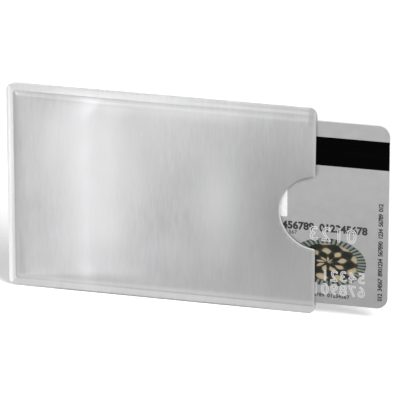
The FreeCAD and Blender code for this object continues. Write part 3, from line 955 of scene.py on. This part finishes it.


# Painted shade: the card's grey darkens towards the bottom: two heights and the share of the colour at each.
CARD_FADE = (4, 42, 0.80, 1.04)
LOOKS = {
    "silver_film": brushed_film(),
    "shield_foil": foil(),
    "lining_film": plastic("lining_film_look", grey(0.30), grey(0.36), 120, 0.42, cut=True),
    "card_grey": plastic("card_grey_look", grey(0.355), grey(0.39), 260, 0.42, bump_height=0.00001, coat=0.1,
                         fade=CARD_FADE),
    "card_white": plastic("card_white_look", grey(0.74), grey(0.80), 200, 0.50),
    "copper": copper_track(),
    "stripe_black": stripe_tape(),
    "panel_white": writing_panel(),
    "patch_foil": oval_foil(),
    "contact_gold": contact_plate(),
    "potting_black": plastic("potting_black_look", grey(0.015), grey(0.025), 400, 0.55),
    "ink": plastic("ink_look", grey(0.006), grey(0.012), 600, 0.6),
    # The pressed rims' light grey is a painted highlight along the raised outlines; they also take the
    # card's painted shade low down.
    "pressed_rim": plastic("pressed_rim_look", grey(0.64), grey(0.72), 500, 0.34, fade=CARD_FADE),
}


def dress(made, look):
    made.data.materials.clear()
    made.data.materials.append(LOOKS[look])


# The sleeve: three sheets to a panel, the outer film the finest.
fine_cover = triangulate(*panel_points(FILM_COARSENESS))
plain_cover = triangulate(*panel_points(INNER_COARSENESS))
for side, facing in (("front", -1), ("back", 1)):
    for sheet, (_, _, slot) in SHEETS.items():
        cover = fine_cover if sheet == "film" else plain_cover
        dress(panel_sheet(side, facing, sheet, cover), slot)

# The card: its solids keep their shapes.
CARD_LOOKS = {
    "card_back_overlay": "card_grey", "card_back_core": "card_white", "card_inlay": "card_white",
    "card_front_core": "card_white", "card_front_overlay": "card_grey", "antenna_coil": "copper",
    "magnetic_stripe": "stripe_black", "signature_panel": "panel_white", "picture_patch": "patch_foil",
    "chip_contacts": "contact_gold", "chip_block": "potting_black",
}
for node, look in CARD_LOOKS.items():
    dress(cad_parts[node], look)
digits = digit_outlines()
for name, facing in (("pressed_digits_near", -1), ("pressed_digits_far", 1)):
    dress(pressed_digits(name, digits, facing), "pressed_rim")
for row in PRINTED_ROWS:
    dress(printed_digits(*row), "ink")

# The floor's half width in millimetres and its cells each way. Near the part it is pale paper that takes the
# shadow, and between two distances in metres it turns to plain white.
FLOOR_REACH = 3000
FLOOR_CELLS = 8
FLOOR_TONE = 0.88
FLOOR_NEAR, FLOOR_FAR = 0.25, 0.80
FLOOR_GLOW = 0.38

# The level of the light that comes from all round.
SURROUNDINGS = 0.16

# Soft lamps, in metres: name, place, target, size, power.
SOFT_LAMPS = [
    ("key", (1.27, -0.99, 1.38), (0, 0, 0.03), (1.0, 1.0), 46),
    ("fill", (-0.85, -1.10, 0.50), (0, 0, 0.03), (1.0, 0.6), 3.2),
    ("back", (-0.60, 1.30, 0.16), (0, 0, 0.03), (1.2, 0.3), 6),
    ("front_low", (-0.28, -0.70, 0.10), (-0.03, 0, 0.03), (0.36, 0.18), 0.26),
]

# Strips on the floor, each lying where an upright panel mirrors the photograph's view to: name, x on that
# panel, lowest and highest z on it, the strip's width in metres, power. The shoulder leans, so its strip
# lies further out.
FLOOR_STRIPS = [
    ("strip_near", -32, 3, 14, 0.035, 0.0018),
    ("strip_middle", -32, 14, 34, 0.022, 0.0041),
    ("strip_far", -32, 34, 59, 0.014, 0.0200),
    ("strip_shoulder", -16, 74, 112, 0.045, 0.042),
]
STRIP_LIFT = 2

# How far to the left and forward a mirrored view meets the floor, by each millimetre of height.
MIRROR_LEFT, MIRROR_FORWARD = 0.686, 2.61

# The photograph's view: angles in degrees, the rest in metres and lens millimetres.
CAMERA_AZIMUTH, CAMERA_ELEVATION, CAMERA_ROLL = 14.918, 20.018, 0.03
CAMERA_DISTANCE = 1.2
AIM_RIGHT, AIM_UP = 0.00101, 0.00028
LENS, SENSOR = 384.18, 36
CLIP_NEAR, CLIP_FAR = 0.05, 20


def looked_at(tree):
    """One for camera rays and for what shows in gloss and glass, zero for light that spreads."""
    path = tree.nodes.new("ShaderNodeLightPath")
    seen = maths(tree, "MAXIMUM", path.outputs["Is Camera Ray"], path.outputs["Is Glossy Ray"])
    return maths(tree, "MAXIMUM", seen, path.outputs["Is Transmission Ray"])


def floor():
    """Pale paper under the part, plain white further off."""
    width = FLOOR_CELLS + 1
    lines = np.linspace(-FLOOR_REACH, FLOOR_REACH, width)
    vertices = [(x, y, 0) for x in lines for y in lines]
    starts = [i * width + j for i in range(FLOOR_CELLS) for j in range(FLOOR_CELLS)]
    made = new_object("floor", vertices, [(a, a + 1, a + width + 1, a + width) for a in starts])
    material = bpy.data.materials.new("floor_look")
    material.use_nodes = True
    tree = material.node_tree
    tree.nodes.clear()
    distance = add_node(tree, "ShaderNodeVectorMath", {0: object_place(tree)},
                        operation="LENGTH").outputs["Value"]
    far = map_range(tree, distance, FLOOR_NEAR, FLOOR_FAR, 0.0, 1.0, interpolation_type="SMOOTHSTEP")
    tone = ramp(tree, far, [(0.0, grey(FLOOR_TONE)), (1.0, grey(0.0))])
    paper = add_node(tree, "ShaderNodeBsdfDiffuse", {"Color": tone})
    strength = maths(tree, "MULTIPLY", looked_at(tree), map_range(tree, far, 0.0, 1.0, FLOOR_GLOW, 1.0))
    glow = add_node(tree, "ShaderNodeEmission", {"Color": grey(1.0), "Strength": strength})
    both = add_node(tree, "ShaderNodeAddShader", {0: paper.outputs[0], 1: glow.outputs[0]})
    add_node(tree, "ShaderNodeOutputMaterial", {"Surface": both.outputs[0]})
    made.data.materials.append(material)


def surroundings():
    """White where the camera looks and in reflections, a plain grey level as light."""
    world = bpy.data.worlds.new("surroundings")
    bpy.context.scene.world = world
    world.use_nodes = True
    tree = world.node_tree
    tree.nodes.clear()
    strength = maths(tree, "MULTIPLY_ADD", looked_at(tree), 1.0 - SURROUNDINGS, SURROUNDINGS)
    back = add_node(tree, "ShaderNodeBackground", {"Color": grey(1.0), "Strength": strength})
    add_node(tree, "ShaderNodeOutputWorld", {"Surface": back.outputs[0]})


def area_lamp(name, place, turn, size, power):
    """A rectangular lamp that the camera doesn't see."""
    lamp = bpy.data.lights.new(name, "AREA")
    lamp.shape = "RECTANGLE"
    lamp.size, lamp.size_y = size
    lamp.energy = power
    made = bpy.data.objects.new(name, lamp)
    made.location = place
    made.rotation_euler = turn
    made.visible_camera = False
    bpy.context.scene.collection.objects.link(made)


def soft_light(name, place, target, size, power):
    """A lamp that faces its target."""
    turn = (Vector(target) - Vector(place)).to_track_quat("-Z", "Y").to_euler()
    area_lamp(name, place, turn, size, power)


def floor_strip(name, panel_x, low, high, width, power):
    """A strip light just above the floor that faces up."""
    near, far = (Vector((panel_x - MIRROR_LEFT * z, -MIRROR_FORWARD * z, STRIP_LIFT)) * MM
                 for z in (low, high))
    along = far - near
    turn = (math.pi, 0, math.atan2(along.y, along.x) - math.pi / 2)
    area_lamp(name, (near + far) / 2, turn, (width, along.length), power)


def photo_camera():
    """The photograph's view: a long lens, to the right and above."""
    azimuth, elevation = math.radians(CAMERA_AZIMUTH), math.radians(CAMERA_ELEVATION)
    level = math.cos(elevation)
    back = Vector((math.sin(azimuth) * level, -math.cos(azimuth) * level, math.sin(elevation)))
    right = Vector((math.cos(azimuth), math.sin(azimuth), 0))
    up = back.cross(right)
    aim = Vector((0, 0, MIDDLE * MM)) + right * AIM_RIGHT + up * AIM_UP
    data = bpy.data.cameras.new("photo_camera")
    data.sensor_width = SENSOR
    data.lens = LENS
    data.clip_start, data.clip_end = CLIP_NEAR, CLIP_FAR
    made = bpy.data.objects.new("photo_camera", data)
    made.location = aim + back * CAMERA_DISTANCE
    made.rotation_euler = (-back).to_track_quat("-Z", "Y").to_euler()
    made.rotation_euler.rotate_axis("Z", math.radians(CAMERA_ROLL))
    bpy.context.scene.collection.objects.link(made)
    bpy.context.scene.camera = made


floor()
surroundings()
for lamp_row in SOFT_LAMPS:
    soft_light(*lamp_row)
for strip_row in FLOOR_STRIPS:
    floor_strip(*strip_row)
photo_camera()
bpy.context.scene.view_settings.view_transform = "Standard"
